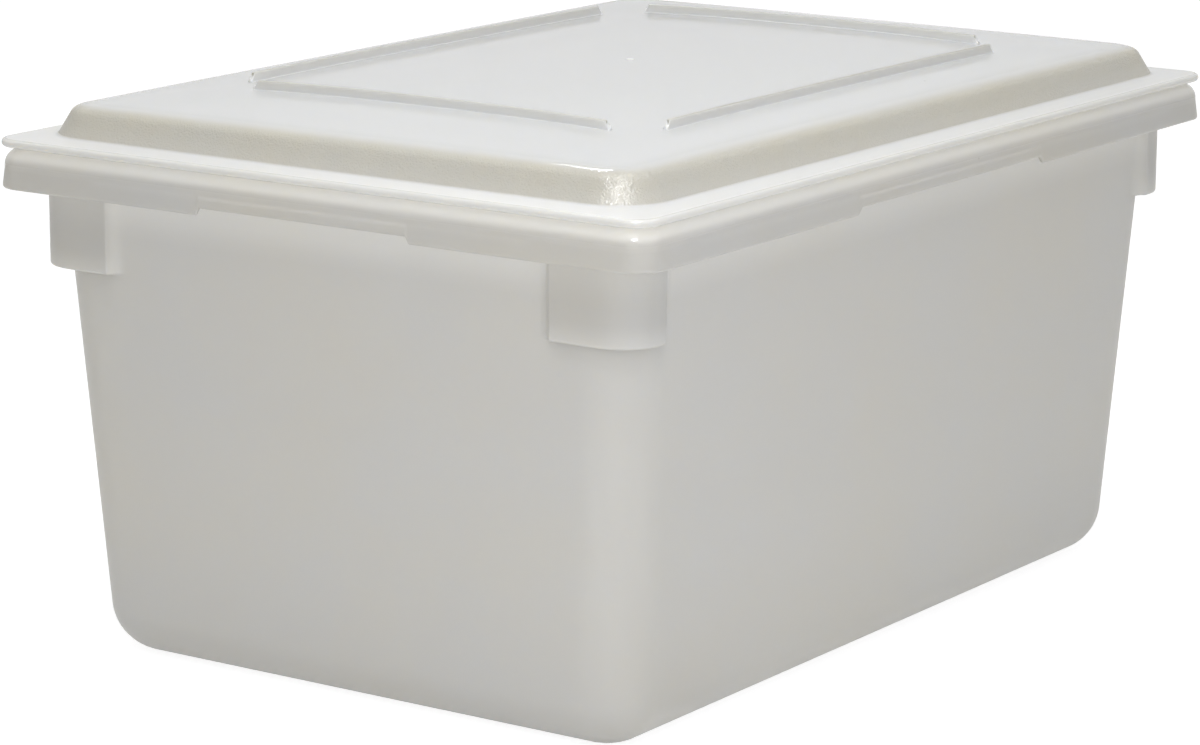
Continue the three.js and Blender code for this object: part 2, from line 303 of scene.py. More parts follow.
def guide(name, places, **attributes):
    """A row of loose points that carries what a tree reads: a place and any named numbers or vectors."""
    mesh = bpy.data.meshes.new(name)
    mesh.from_pydata(places, [], [])
    for label, values in attributes.items():
        if isinstance(values[0], (tuple, list)):
            layer = mesh.attributes.new(label, "FLOAT_VECTOR", "POINT")
            layer.data.foreach_set("vector", [part for value in values for part in value])
        else:
            layer = mesh.attributes.new(label, "FLOAT", "POINT")
            layer.data.foreach_set("value", values)
    points = bpy.data.objects.new(name, mesh)
    bpy.context.scene.collection.objects.link(points)
    return points


def mix(low, high, share):
    return low + (high - low) * share


def ease(share):
    share = min(max(share, 0.0), 1.0)
    return share * share * (3 - 2 * share)


def steps(count):
    return [step / count for step in range(count + 1)]


def run(first, last, count):
    """Evenly spaced shares from the first up to, but not with, the last."""
    return [first + (last - first) * step / count for step in range(count)]


def turns(count):
    """Angles of a quarter turn, from its start to its end."""
    return [share * math.pi / 2 for share in steps(count)]


def half_turns(count):
    return [share * math.pi for share in steps(count)]


def bend(start, knee, stop, share):
    """Inset and level on a bend that rounds off the knee between two points."""
    weights = ((1 - share) ** 2, 2 * share * (1 - share), share ** 2)
    return [sum(weight * part for weight, part in zip(weights, parts)) for parts in zip(start, knee, stop)]


# Columns of every loft, as shares of half a side; they are dense where lugs and grips begin and end.
LONG_SIDE = [*run(0, .30, 6), .30, .325, *run(.333, .362, 12), .362, .375, .40, *run(.44, .96, 11), .96, .972,
             *run(.978, 1.0, 8)]
SHORT_SIDE = [*run(0, .30, 5), .30, .325, *run(.338, .370, 10), .370, .39, *run(.43, .80, 7), .80, .82,
              *run(.833, .912, 20), .912, .93, .955, .98]
CORNER = [*run(0, 17.5, 14), 17.5, 20, 23, 26.5, *run(30, 90, 14), 90]


def outline_guide():
    """Columns round the box, counter-clockwise: how far each lies along its sides, and where it faces."""
    spread, facing = [], []
    for quarter in range(4):
        side_x = 1 if quarter in (0, 3) else -1
        side_y = 1 if quarter < 2 else -1
        turned = quarter % 2 == 0
        angles = [90 - angle for angle in reversed(CORNER)] if turned else CORNER
        for angle in angles:
            turn = math.radians(90 * quarter + angle)
            spread.append((side_x, side_y, 0))
            facing.append((math.cos(turn), math.sin(turn), 0))
        shares = LONG_SIDE if turned else SHORT_SIDE
        signed = [share for share in reversed(shares)] + [-share for share in shares[1:]]
        ahead = facing[-1]
        for share in signed:
            place = (side_x * share, side_y, 0) if turned else (side_x, side_y * share, 0)
            spread.append(place)
            facing.append(ahead)
    return guide("outline", spread + spread[:1], facing=facing + facing[:1])


class Ring:
    """One level outline of a moulding, with the shares by which the local forms, finishes, and painted light
    and shade change it.
    """

    def __init__(self, inset, corner, level, lug=None, **shares):
        self.form = (inset, max(corner, 0.0), level)
        self.lug = lug or self.form
        self.shares = shares


# How far towards its pale colour the plastic goes in each form: partly for thick plastic, partly as painted
# light and painted shade.
WALL_THICK_AND_LIT = 0.25
FOOT_PAINTED_SHADE = 0.17
LUG_THICK_AND_LIT = 0.0
LUG_TOP_PAINTED_LIGHT = 0.2
LEDGE_PAINTED_LIGHT = 0.24
LUG_SIDE_PAINTED_LIGHT = 0.08
UNDER_SKIRT_PAINTED_LIGHT = 0.62
RIM_THICK_AND_LIT = 0.38
CREASE_PAINTED_SHADE = 0.08
FLANGE_THICK_AND_LIT = 0.25
BEAD_THICK_AND_LIT = 0.15
BEAD_UNDER_PAINTED_LIGHT = 0.5
SLOPE_FOOT_THICK_AND_LIT = 0.1
BAR_THICK_AND_LIT = 0.1
# How far the panel keeps its own colour where its rounded edge begins, the rest being painted shade, and the
# flange's bead takes it on.
PANEL_EDGE_PAINTED_SHADE = 0.85
BEAD_PANEL = 0.65
# How far a bar keeps the panel's colour along its upper edges and on its top, where losing it is painted
# shade.
BAR_EDGE_PANEL = 0.8
BAR_TOP_PANEL = 0.0
# How far a bar's top goes towards the shaded colour, as painted shade.
BAR_TOP_DIM = 0.6
# Stipple of the flange, and polish of the rim, of the bead along the flange and of the bars.
FLANGE_STIPPLE = 0.1
RIM_GLOSS = 0.6
BEAD_GLOSS = 0.5
BAR_GLOSS = 0.6
# Share of the light that passes a face of the thin skirt, rim and flange.
SKIRT_THROUGH = 0.9
SHARES = ("grip", "crown", "stipple", "gloss", "solid", "lug_solid", "panel", "clear")

# Rings of each stretch of the tub, as shares of its length; they are dense where the next form begins.
FLOOR_STEPS = (0, .14, .28, .42, .55, .67, .78, .87, .94, .98)
INSIDE_STEPS = (.02, .06, .15, .26, .37, .48, .59, .70, .80, .89, .95, .985)
POCKET_STEPS = (.1, .25, .42, .6, .78, .92, .98, 1.0)
RIM_STEPS = (.08, .35, .65, .92)
SKIRT_STEPS = (.12, .3, .5, .7, .88)
CEILING_STEPS = (.35, .8)
LUG_STEPS = (.04, .15, .3, .45, .6, .7, .78, .84, .89, .93, .97)
OUTSIDE_STEPS = (.015, .05, .11, .2, .3, .4, .5, .6, .7, .8, .88, .94, .975)
# Rings of each stretch of the lid, from the panel round the flange and back up to the panel's underside.
PANEL_STEPS = (0, .005, .014, .028, .048, .075, .11, .15, .2, .26, .33, .42, .52, .63, .75, .88, 1.0)
SLOPE_STEPS = (.08, .3, .5, .7, .92)
FLANGE_STEPS = (.06, .3, .55, .8, .93)
SEAT_STEPS = (.1, .4, .7, .92)
KEEPER_STEPS = (.15, .5, .85, 1.0)
HOLLOW_STEPS = (.3, .6, .85)
ROOF_STEPS = (.004, .012, .03, .06, .1, .16, .24, .34, .46, .6, .75, .88, 1.0)

# Small sizes that keep the lofts clean.
LEAST_CORNER = 0.4 * MM
LEAST_HEADING = 1e-4
LEAST_LUG = 0.01 * MM
MERGE_DISTANCE = 0.002 * MM
# The lug's ledge: how far below it its hollow rounding starts, and the share of the ledge that this takes up.
HOLLOW_START = 1.2
HOLLOW_SHARE = 0.85
# Shares of the skirt's height over which the grips' arch rises and the crease's painted shade fades.
ARCH_SHARE = 0.7
SHADE_SHARE = 0.5
# Shares of the shoulder's height at which the crease's painted shade ends, and over which painted shade and
# polish change.
CREASE_TOP = 0.28
CREASE_FADE = 0.3
# Rounding between the locating wall and the flange.
KEEPER_FILLET = 1.0 * MM
# A bar's root lies in the panel and reaches out past its fillet, and the fillet starts a little sunk in it.
BAR_ROOT = 1.2 * MM
BAR_ROOT_SPREAD = 0.6 * MM
BAR_SINK = 0.02 * MM
# A bar's closed end: how far in each section lies, and how far it has opened from the middle of the bar.
BAR_END = ((0.0, 0.0), (0.0, 0.5), (0.0, 0.86), (0.1 * MM, 0.95), (0.4 * MM, 1.0))
BAR_INWARD = 0.5 * MM
# Outline of the moulding mark from below the panel up, as shares of its radius and its rise.
GATE_PROFILE = ((1.1, -1.0), (1.1, 0.0), (1.0, 0.3), (0.85, 0.75), (0.55, 1.0), (0.2, 1.0))

# Patterns in the plastic: how many to a metre, how much finer detail they have, and how rough that is.
CLOUDS = (7.0, 4.0, 0.55)
WAVES = (16.0, 2.0, 0.4)
GRAINS = (240.0, 3.0, 0.6)
PITS = (850.0, 1.0, 0.5)
# Their bumps: strength and height in metres.
WAVE_BUMP = (0.2, 0.0006)
GRAIN_BUMP = (0.06, 0.0004)
PIT_BUMP = (0.9, 0.00055)
# The clouds shift the thin plastic's colour between these two, over this range of the pattern.
WARM = (1.012, 1.0, 0.97)
COOL = (0.988, 1.0, 1.03)
CLOUD_RANGE = (0.35, 0.65)
# Specks: cells to a metre, the share of cells without one, the soft edge in cells, and the depth of colour.
SPECK_SCALE = 32.0
SPECK_FREE = 0.93
SPECK_EDGE = (0.012, 0.035)
SPECK_DEPTH = 0.45
# Roughness of the satin face and of the stippled one, and what a polish leaves of it.
SATIN_ROUGHNESS = 0.41
STIPPLE_ROUGHNESS = 0.25
POLISH = 0.18
# Light inside the plastic: its share, how far each colour spreads, and the plastic's refractive index.
GLOW_SHARE = 0.9
GLOW_SPREAD = (1.0, 0.94, 0.8)
PLASTIC_IOR = 1.5

# The stage in metres. Each lamp has its place, the point that it faces and the width of its disk.
WHITE = (1.0, 1.0, 1.0, 1.0)
FLOOR_REACH = 14.0
FLOOR_SHADE = (0.35, 0.35, 0.35, 1.0)
FLOOR_GLOW = 0.85
MIRRORED_SKY = 0.76
VIEW_END = 100.0
TOP_LAMP = ((-0.4, -0.3, 2.0), (0.0, 0.0, 0.3), 1.0)
FRONT_LAMP = ((-1.0, -0.85, 0.6), (-0.1, -0.1, 0.2), 0.6)
SMALL_LAMP = ((-1.49, -1.02, 1.96), (-0.3, -0.2, 0.3), 0.2)
GLINT_LAMP = ((-1.49, -1.02, 1.96), (-0.3, -0.2, 0.3), 0.25)
EDGE_LAMP = ((1.3, 1.13, 1.7), (-0.3, -0.2, 0.3), 0.22)


def ring_guide(rings):
    shares = {label: [ring.shares.get(label, 0.0) for ring in rings] for label in SHARES}
    return guide("rings", [ring.form for ring in rings], lug_form=[ring.lug for ring in rings], **shares)


def sampled(sheet, source, label, index):
    """The value that a guide's point holds under a name; its place is the unnamed one."""
    vector = label in ("place", "facing", "lug_form")
    kind = "FLOAT_VECTOR" if vector else "FLOAT"
    if label == "place":
        field = sheet.get("GeometryNodeInputPosition")
    else:
        field = sheet.get("GeometryNodeInputNamedAttribute", {"Name": label}, data_type=kind)
    inputs = {"Geometry": source, "Value": field, "Index": index}
    return sheet.get("GeometryNodeSampleIndex", inputs, data_type=kind, domain="POINT")


def grid_of(sheet, rows, columns):
    """A grid with one row for each point of one guide and one column for each point of another."""
    sources, counts = [], []
    for owner in (rows, columns):
        holder = sheet.add("GeometryNodeObjectInfo", {"Object": owner}, transform_space="ORIGINAL")
        sources.append(holder.outputs["Geometry"])
        size = sheet.add("GeometryNodeAttributeDomainSize", [sources[-1]], component="MESH")
        counts.append(size.outputs["Point Count"])
    grid = sheet.get("GeometryNodeMeshGrid", {"Vertices X": counts[0], "Vertices Y": counts[1]})
    index = sheet.get("GeometryNodeInputIndex")
    middle = sheet.sum("ADD", index, 0.5)
    row = sheet.sum("FLOOR", sheet.sum("DIVIDE", middle, counts[1]))
    column = sheet.sum("SUBTRACT", index, sheet.sum("MULTIPLY", row, counts[1]))
    return grid, sources, row, column


def on_outline(sheet, form, spread, facing, half):
    """Place of a ring's point: its corner's centre, and from there the corner radius the way it faces."""
    inset, corner, level = sheet.parts(form)
    reach = sheet.sum("ADD", inset, corner)
    centre = sheet.vector("SUBTRACT", half, sheet.join(reach, reach, 0.0))
    flat = sheet.vector("MULTIPLY_ADD", spread, centre, sheet.vector("SCALE", facing, corner))
    return sheet.vector("ADD", flat, sheet.join(0.0, 0.0, level))


def pushed_out(sheet, place, facing, form, half):
    """The point in front of a place, the way it faces, where it meets a larger outline."""
    inset, corner, level = sheet.parts(form)
    reach = sheet.sum("ADD", inset, corner)
    edge = sheet.vector("SUBTRACT", half, sheet.join(inset, inset, 0.0))
    centre = sheet.vector("SUBTRACT", half, sheet.join(reach, reach, 0.0))
    flat = sheet.vector("MULTIPLY", place, (1.0, 1.0, 0.0))
    near = sheet.vector("ABSOLUTE", flat)
    heading = sheet.vector("MAXIMUM", sheet.vector("ABSOLUTE", facing), (LEAST_HEADING, LEAST_HEADING, 1.0))
    across = sheet.parts(sheet.vector("DIVIDE", sheet.vector("SUBTRACT", edge, near), heading))
    to_side = sheet.sum("MINIMUM", across[0], across[1])
    at_side = sheet.vector("ADD", near, sheet.vector("SCALE", heading, to_side))
    past = sheet.parts(sheet.vector("SUBTRACT", at_side, centre))
    rounded = sheet.sum("GREATER_THAN", sheet.sum("MINIMUM", past[0], past[1]), 0.0)
    away = sheet.vector("SUBTRACT", near, centre)
    ahead = sheet.vector_value("DOT_PRODUCT", away, sheet.vector("MULTIPLY", heading, (1.0, 1.0, 0.0)))
    square = sheet.sum("MULTIPLY", corner, corner)
    spare = sheet.sum("SUBTRACT", square, sheet.vector_value("DOT_PRODUCT", away, away))
    under_root = sheet.sum("MAXIMUM", sheet.sum("MULTIPLY_ADD", ahead, ahead, spare), 0.0)
    to_corner = sheet.sum("SUBTRACT", sheet.sum("SQRT", under_root), ahead)
    travel = sheet.sum("MULTIPLY_ADD", sheet.sum("SUBTRACT", to_corner, to_side), rounded, to_side)
    moved = sheet.vector("ADD", flat, sheet.vector("SCALE", facing, travel))
    return sheet.vector("ADD", moved, sheet.join(0.0, 0.0, level))


def closed(sheet, grid, place, kept):
    """The grid at its places, with its seam and its poles merged and the kept values stored on its points."""
    shaped = sheet.get("GeometryNodeSetPosition", {"Geometry": grid, "Position": place})
    for label, value in kept.items():
        inputs = {"Geometry": shaped, "Name": label, "Value": value}
        shaped = sheet.get("GeometryNodeStoreNamedAttribute", inputs, data_type="FLOAT", domain="POINT")
    return sheet.get("GeometryNodeMergeByDistance", {"Geometry": shaped, "Distance": MERGE_DISTANCE})


def tub_tree():
    """Loft of the tub: rounded outlines, corner lugs that rise from the wall, arches in the skirt's edge."""
    sheet, given = new_tree("Tub loft", [
        ("Rings", "Object"), ("Outline", "Object"), ("Length", "Float"), ("Width", "Float"),
        ("Lug reach along X", "Float"), ("Lug reach along Y", "Float"), ("Lug slope", "Float"),
        ("Lug steepness", "Float"), ("Grip rise", "Float"), ("Grip flat along X", "Float"),
        ("Grip run along X", "Float"),
        ("Grip flat along Y", "Float"), ("Grip run along Y", "Float"), ("Material", "Material"),
    ])
    grid, (rings, outline), row, column = grid_of(sheet, given["Rings"], given["Outline"])
    spread = sampled(sheet, outline, "place", column)
    facing = sampled(sheet, outline, "facing", column)
    half_x = sheet.sum("MULTIPLY", given["Length"], 0.5)
    half_y = sheet.sum("MULTIPLY", given["Width"], 0.5)
    half = sheet.join(half_x, half_y, 0.0)
    plain = on_outline(sheet, sampled(sheet, rings, "place", row), spread, facing, half)
    lugged = pushed_out(sheet, plain, facing, sampled(sheet, rings, "lug_form", row), half)
    away = sheet.parts(sheet.vector("ABSOLUTE", plain))
    shares = []
    for distance, along, edge in ((away[0], "X", half_x), (away[1], "Y", half_y)):
        limit = sheet.sum("SUBTRACT", edge, given[f"Lug reach along {along}"])
        start = sheet.sum("SUBTRACT", limit, given["Lug slope"])
        risen = sheet.ramp(distance, start, limit, shape="LINEAR")
        shares.append(sheet.sum("POWER", risen, given["Lug steepness"]))
    lug_share = sheet.sum("MULTIPLY", *shares)
    walled = sheet.blend(lug_share, plain, lugged, "VECTOR")
    heading = sheet.parts(sheet.vector("MULTIPLY", facing, facing))
    arches = []
    for distance, along, weight in ((away[0], "X", heading[1]), (away[1], "Y", heading[0])):
        start = sheet.sum("MULTIPLY", given[f"Grip flat along {along}"], 0.5)
        stop = sheet.sum("ADD", start, given[f"Grip run along {along}"])
        arches.append(sheet.sum("MULTIPLY", sheet.ramp(distance, start, stop, 1.0, 0.0), weight))
    arch = sheet.sum("MULTIPLY", sheet.sum("ADD", *arches), sampled(sheet, rings, "grip", row))
    lifted = sheet.sum("MULTIPLY", arch, given["Grip rise"])
    place = sheet.vector("ADD", walled, sheet.join(0.0, 0.0, lifted))
    # The pale share, thick plastic with painted light and shade, is blended from the wall to the lug.
    plain_thick_and_lit, lug_solid = [sampled(sheet, rings, label, row) for label in ("solid", "lug_solid")]
    gain = sheet.sum("SUBTRACT", lug_solid, plain_thick_and_lit)
    blended_thick_and_lit = sheet.sum("MULTIPLY_ADD", gain, lug_share, plain_thick_and_lit)
    # Painted light on the lug's sides, where they rise from the wall.
    part_way = sheet.sum("MULTIPLY", lug_share, sheet.sum("SUBTRACT", 1.0, lug_share))
    depth = sheet.vector_value("LENGTH", sheet.vector("SUBTRACT", lugged, plain))
    on_lug = sheet.sum("GREATER_THAN", depth, LEAST_LUG)
    side_painted_light = sheet.sum("MULTIPLY", sheet.sum("MULTIPLY", part_way, on_lug), 4 * LUG_SIDE_PAINTED_LIGHT)
    kept = {"solid": sheet.sum("ADD", blended_thick_and_lit, side_painted_light)}
    kept |= {label: sampled(sheet, rings, label, row) for label in ("gloss", "clear")}
    return end_tree(sheet, closed(sheet, grid, place, kept), given["Material"])


CROWN_INPUTS = [
    ("Panel level", "Float"), ("Crown rise", "Float"), ("Half length", "Float"), ("Half width", "Float"),
    ("Power along X", "Float"), ("Power along Y", "Float"),
]


def crown_height(sheet, given, x, y):
    """Rise of the crowned panel above its edge: it falls away towards all four sides."""
    left = []
    for place, half, power in ((x, "Half length", "Power along X"), (y, "Half width", "Power along Y")):
        share = sheet.sum("MINIMUM", sheet.sum("DIVIDE", sheet.sum("ABSOLUTE", place), given[half]), 1.0)
        left.append(sheet.sum("SUBTRACT", 1.0, sheet.sum("POWER", share, given[power])))
    return sheet.sum("MULTIPLY", sheet.sum("MULTIPLY", *left), given["Crown rise"])


def lid_tree():
    """Loft of the lid: rounded outlines whose panel is crowned by a rule."""
    sheet, given = new_tree("Lid loft", [
        ("Rings", "Object"), ("Outline", "Object"), ("Length", "Float"), ("Width", "Float"), *CROWN_INPUTS,
        ("Material", "Material"),
    ])
    grid, (rings, outline), row, column = grid_of(sheet, given["Rings"], given["Outline"])
    spread = sampled(sheet, outline, "place", column)
    facing = sampled(sheet, outline, "facing", column)
    half = sheet.vector("SCALE", sheet.join(given["Length"], given["Width"], 0.0), 0.5)
    flat = on_outline(sheet, sampled(sheet, rings, "place", row), spread, facing, half)
    x, y, _ = sheet.parts(flat)
    rise = sheet.sum("MULTIPLY", crown_height(sheet, given, x, y), sampled(sheet, rings, "crown", row))
    place = sheet.vector("ADD", flat, sheet.join(0.0, 0.0, rise))
    labels = ("stipple", "gloss", "solid", "panel", "clear")
    kept = {label: sampled(sheet, rings, label, row) for label in labels}
    return end_tree(sheet, closed(sheet, grid, place, kept), given["Material"])


def bars_tree():
    """The four bars: one long and one short bar along the panel, each placed twice by a half turn."""
    sheet, given = new_tree("Lid bars", [
        ("Stations", "Object"), ("Section", "Object"), ("Long foot", "Float"), ("Short foot", "Float"),
        ("Away along Y", "Float"), ("Away along X", "Float"), ("Height", "Float"), ("Slant", "Float"),
        *CROWN_INPUTS, ("Thick and lit", "Float"), ("Material", "Material"),
    ])
    grid, (stations, section), row, column = grid_of(sheet, given["Stations"], given["Section"])
    share, inward, tight = sheet.parts(sampled(sheet, stations, "place", row))
    side, rise, drop = sheet.parts(sampled(sheet, section, "place", column))
    upper = sampled(sheet, section, "top_share", column)
    height = given["Height"]
    high = sheet.sum("SUBTRACT", height, drop)
    climb = sheet.sum("MULTIPLY_ADD", sheet.sum("SUBTRACT", high, rise), upper, rise)
    slide = sheet.sum("MULTIPLY", sheet.sum("DIVIDE", climb, height), given["Slant"])
    slanted = sheet.sum("MULTIPLY", slide, sheet.sum("SIGN", share))
    middle = sheet.sum("MULTIPLY", height, 0.5)
    drawn = sheet.sum("MULTIPLY_ADD", sheet.sum("SUBTRACT", climb, middle), tight, middle)
    twice = sheet.get("GeometryNodeMeshLine", {"Count": 2, "Offset": (0.0, 0.0, 0.0)})
    half_turn = sheet.sum("MULTIPLY", sheet.get("GeometryNodeInputIndex"), math.pi)
    pairs = []
    for foot, away, turn in (("Long foot", "Away along Y", 0.0), ("Short foot", "Away along X", math.pi / 2)):
        half = sheet.sum("SUBTRACT", sheet.sum("MULTIPLY", given[foot], 0.5), inward)
        along = sheet.sum("MULTIPLY", share, half)
        beside = sheet.sum("MULTIPLY_ADD", side, tight, given[away])
        ground = (along, beside) if turn == 0.0 else (beside, along)
        panel = sheet.sum("ADD", crown_height(sheet, given, *ground), given["Panel level"])
        place = sheet.join(sheet.sum("SUBTRACT", along, slanted), beside, sheet.sum("ADD", panel, drawn))
        shade = sampled(sheet, section, "panel", column)
        # A bar's top drops the pale and the panel's colour and goes towards the shaded colour: painted shade.
        kept = {"solid": sheet.sum("MULTIPLY", shade, given["Thick and lit"]), "panel": shade,
                "gloss": sheet.sum("MULTIPLY", shade, BAR_GLOSS),
                "dim": sheet.sum("MULTIPLY", sheet.sum("SUBTRACT", 1.0, shade), BAR_TOP_DIM)}
        bar = closed(sheet, grid, place, kept)
        turned = sheet.get("GeometryNodeTransform", {"Geometry": bar, "Rotation": (0.0, 0.0, turn)})
        spin = sheet.get("FunctionNodeEulerToRotation", [sheet.join(0.0, 0.0, half_turn)])
        inputs = {"Points": twice, "Instance": turned, "Rotation": spin}
        pairs.append(sheet.get("GeometryNodeInstanceOnPoints", inputs))
    both = sheet.add("GeometryNodeJoinGeometry")
    for pair in reversed(pairs):
        sheet.tree.links.new(pair, both.inputs[0])
    return end_tree(sheet, both.outputs[0], given["Material"])


def wall_lean(tub):
    """How far the tub's wall leans out for each length of height."""
    return (tub.wall_inset_base - tub.wall_inset_top) / tub.rim_height


def tub_rings(tub):
    """Rings of the tub: from the middle of the floor up the inside, over rim and skirt, and down again."""
    lean = wall_lean(tub)
    secant = math.hypot(1, lean)
    middle = tub.rim_width / 2
    top = tub.rim_height
    ceiling = top - tub.rim_plate
    crease = top - tub.shoulder_drop
    skirt_low = top - tub.skirt_drop
    lug_low = top - tub.lug_drop

    def wall(offset, level):
        return tub.wall_inset_base + offset * secant - lean * level

    def foot(offset, floor, count):
        """Rounded foot of the inside or the outside, from the floor up to the wall."""
        radius = tub.floor_fillet - offset
        centre_level = floor + radius
        centre_inset = wall(offset, centre_level) + radius * secant
        last = math.pi + math.atan(lean)
        for share in steps(count):
            angle = mix(math.pi * 1.5, last, share)
            inset = centre_inset + radius * math.cos(angle)
            level = centre_level + radius * math.sin(angle)
            corner = tub.wall_corner - offset - (inset - wall(offset, level))
            yield shaded_ring(inset, max(corner, LEAST_CORNER), level)

    def floor_rings(edge):
        inset, corner, level = edge.form
        for share in FLOOR_STEPS:
            yield shaded_ring(mix(middle, inset, share), corner * share, level)

    def lug_bottom(offset, low):
        """The lug's lower edge from the wall outwards, each ring paired with one of the plain wall."""
        edge, hollow = tub.lug_edge, tub.lug_hollow
        face = tub.lug_inset + offset
        root = wall(offset, low)
        ledge = root - face - edge
        hollow_low = low - hollow * HOLLOW_START
        path = [(wall(offset, hollow_low), hollow_low)]
        for turn in turns(6):
            outward = ledge * HOLLOW_SHARE * (1 - math.cos(turn))
            path.append((root - outward, low - hollow * (1 - math.sin(turn))))
        for turn in turns(5):
            path.append((face + edge * (1 - math.sin(turn)), low + edge * (1 - math.cos(turn))))
        path.append((face, low + edge * 2))
        start, stop = path[0][1], path[-1][1]
        for number, (inset, level) in enumerate(path):
            plain = mix(start, stop, number / (len(path) - 1))
            back = min(max((inset - face - edge) / ledge, 0.0), 1.0)
            corner = mix(tub.lug_corner, tub.wall_corner, back) - offset
            yield Ring(wall(offset, plain), tub.wall_corner - offset, plain, lug=(inset, corner, level),
                       solid=wall_painted_light_and_shade(plain), lug_solid=lug_solid(offset, level))

    def wall_painted_light_and_shade(level):
        """Painted shade darkens the wall towards the floor, and painted light lightens it below the skirt."""
        low = mix(FOOT_PAINTED_SHADE, WALL_THICK_AND_LIT, ease(level / tub.foot_shade))
        return mix(low, UNDER_SKIRT_PAINTED_LIGHT, ease((level - skirt_low) / tub.skirt_glow + 1))

    def lug_solid(offset, level):
        """Outside, painted light lies in the ledge under a lug and fades up its face, whose top takes more
        painted light below the skirt.
        """
        if offset > 0.0:
            return WALL_THICK_AND_LIT
        face = mix(LUG_THICK_AND_LIT, LUG_TOP_PAINTED_LIGHT, ease((level - skirt_low) / tub.skirt_glow + 1))
        return mix(LEDGE_PAINTED_LIGHT, face, ease((level - lug_low) / tub.lug_glow))

    def shaded_ring(inset, corner, level):
        """A ring of the floor or of the wall, shaded for its level."""
        shade = wall_painted_light_and_shade(level)
        return Ring(inset, corner, level, solid=shade, lug_solid=shade)

    def lugged(offset, level, drawn=0.0):
        """A wall ring above the lug's lower edge, drawn outwards where it meets the rim."""
        return Ring(wall(offset, level) - drawn, tub.wall_corner - offset + drawn, level,
                    lug=(tub.lug_inset + offset - drawn, tub.lug_corner - offset + drawn, level),
                    solid=wall_painted_light_and_shade(level), lug_solid=lug_solid(offset, level))

    thick = tub.wall_thickness
    inside_foot = list(foot(thick, thick, 12))
    rings = list(floor_rings(inside_foot[0])) + inside_foot
    pocket = list(lug_bottom(thick, lug_low + thick))
    first, last = inside_foot[-1].form[2], pocket[0].form[2]
    for share in INSIDE_STEPS:
        level = mix(first, last, share)
        rings.append(shaded_ring(wall(thick, level), tub.wall_corner - thick, level))
    rings += pocket
    first, last = pocket[-1].form[2], top - tub.rim_edge
    for share in POCKET_STEPS:
        rings.append(lugged(thick, mix(first, last, share)))
    for turn in turns(4)[1:]:
        rings.append(lugged(thick, last + tub.rim_edge * math.sin(turn), tub.rim_edge * (1 - math.cos(turn))))
    shoulder_end = tub.skirt_flare + tub.shoulder_depth
    channel_end = tub.skirt_flare + tub.channel_depth
    rim_start = rings[-1]

    def shoulder_corner(inset):
        return tub.rim_corner - tub.skirt_flare + tub.shoulder_spread * (inset - tub.skirt_flare)

    def skirt_ring(inset, level, grip=0.0, **shares):
        """A ring of the skirt, rounded about the same corner as its lower edge."""
        return Ring(inset, tub.rim_corner - inset, level, grip=grip, clear=1.0, **shares)

    # The rim and its shoulder go pale for the doubled plastic under the flange and as painted light where the
    # flange shades them; at the crease this falls to painted shade.
    for share in RIM_STEPS:
        inset = mix(rim_start.form[0], shoulder_end, share)
        behind = mix(rim_start.lug[0], shoulder_end, share)
        rings.append(Ring(inset, mix(rim_start.form[1], shoulder_corner(shoulder_end), share), top,
                          lug=(behind, mix(rim_start.lug[1], shoulder_corner(shoulder_end), share), top),
                          solid=RIM_THICK_AND_LIT, lug_solid=RIM_THICK_AND_LIT, gloss=RIM_GLOSS, clear=1.0))
    for turn in reversed(turns(20)):
        way = (math.cos(turn), math.sin(turn))
        out, height = [max(part, 0.0) ** (2 / tub.shoulder_power) for part in way]
        inset = shoulder_end - tub.shoulder_depth * out
        solid = mix(CREASE_PAINTED_SHADE, RIM_THICK_AND_LIT, ease((height - CREASE_TOP) / CREASE_FADE))
        rings.append(Ring(inset, shoulder_corner(inset), crease + tub.shoulder_drop * height, solid=solid,
                          lug_solid=solid, gloss=RIM_GLOSS * ease(height / CREASE_FADE), clear=1.0))
    lip = tub.skirt_wall / 2
    for share in SKIRT_STEPS:
        inset, level = mix(tub.skirt_flare, 0.0, share), mix(crease, skirt_low + lip, share)
        rings.append(skirt_ring(inset, level, ease(share / ARCH_SHARE),
                                solid=CREASE_PAINTED_SHADE * (1 - ease(share / SHADE_SHARE))))
    for turn in half_turns(8):
        rings.append(skirt_ring(lip - lip * math.cos(turn), skirt_low + lip - lip * math.sin(turn), 1.0))
    for share in SKIRT_STEPS:
        inset = mix(tub.skirt_wall, tub.skirt_flare + tub.skirt_wall, share)
        level = mix(skirt_low + lip, crease, share)
        rings.append(skirt_ring(inset, level, ease((1 - share) / ARCH_SHARE)))
    for turn in turns(8):
        inset = channel_end - (tub.channel_depth - tub.skirt_wall) * math.cos(turn)
        rings.append(skirt_ring(inset, crease + (tub.shoulder_drop - tub.rim_plate) * math.sin(turn)))
    fillet = tub.ceiling_fillet
    meeting = ceiling - fillet
    channel_corner = tub.rim_corner - channel_end
    for share in CEILING_STEPS:
        inset = mix(channel_end, wall(0.0, meeting) - fillet, share)
        behind = mix(channel_end, tub.lug_inset - fillet, share)
        rings.append(Ring(inset, mix(channel_corner, tub.wall_corner + fillet, share), ceiling,
                          lug=(behind, mix(channel_corner, tub.lug_corner + fillet, share), ceiling)))
    for turn in turns(5):
        rings.append(lugged(0.0, meeting + fillet * math.cos(turn), fillet * (1 - math.sin(turn))))
    outer_lug = list(lug_bottom(0.0, lug_low))
    first, last = meeting, outer_lug[-1].form[2]
    for share in LUG_STEPS:
        rings.append(lugged(0.0, mix(first, last, share)))
    rings += reversed(outer_lug)
    outside_foot = list(foot(0.0, 0.0, 16))
    first, last = outer_lug[0].form[2], outside_foot[-1].form[2]
    for share in OUTSIDE_STEPS:
        level = mix(first, last, share)
        rings.append(shaded_ring(wall(0.0, level), tub.wall_corner, level))
    rings += reversed(outside_foot)
    rings += reversed(list(floor_rings(outside_foot[0])))
